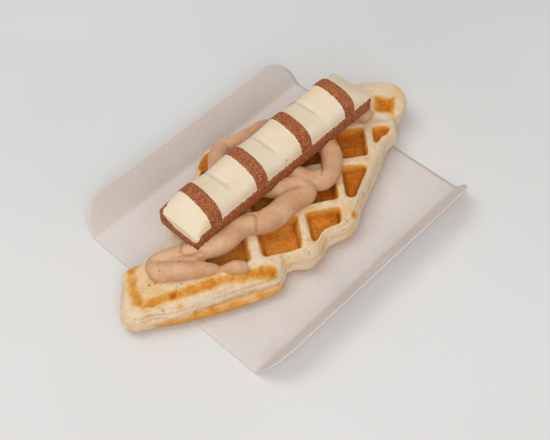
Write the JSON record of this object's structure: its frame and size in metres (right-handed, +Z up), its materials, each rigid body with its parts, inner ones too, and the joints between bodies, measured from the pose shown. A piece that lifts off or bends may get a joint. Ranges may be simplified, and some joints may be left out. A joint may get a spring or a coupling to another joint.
{
  "type": "croffle",
  "caption": "Croissant waffle on a folded card tray, with piped hazelnut cream and a striped white wafer bar on top.",
  "frame": {"origin": "middle of the underside of the card tray's base, where it rests on a table", "axes": "+X along the tray's creases and the length of the croffle, +Y to the tray's far flap, +Z up"},
  "size_m": [0.1909, 0.128, 0.0391],
  "materials": {
    "card": "smooth matt white card",
    "crust": "dry baked pastry, pale cream ribs and golden brown pockets",
    "cream": "soft satin piped hazelnut cream with dark specks",
    "bar": "white coating, satin, with rough cocoa-crumb stripes and sides"
  },
  "bodies": {
    "root": {"card_tray": "card", "croffle": "crust", "hazelnut_cream": "cream", "wafer_bar": "bar"}
  },
  "joints": []
}
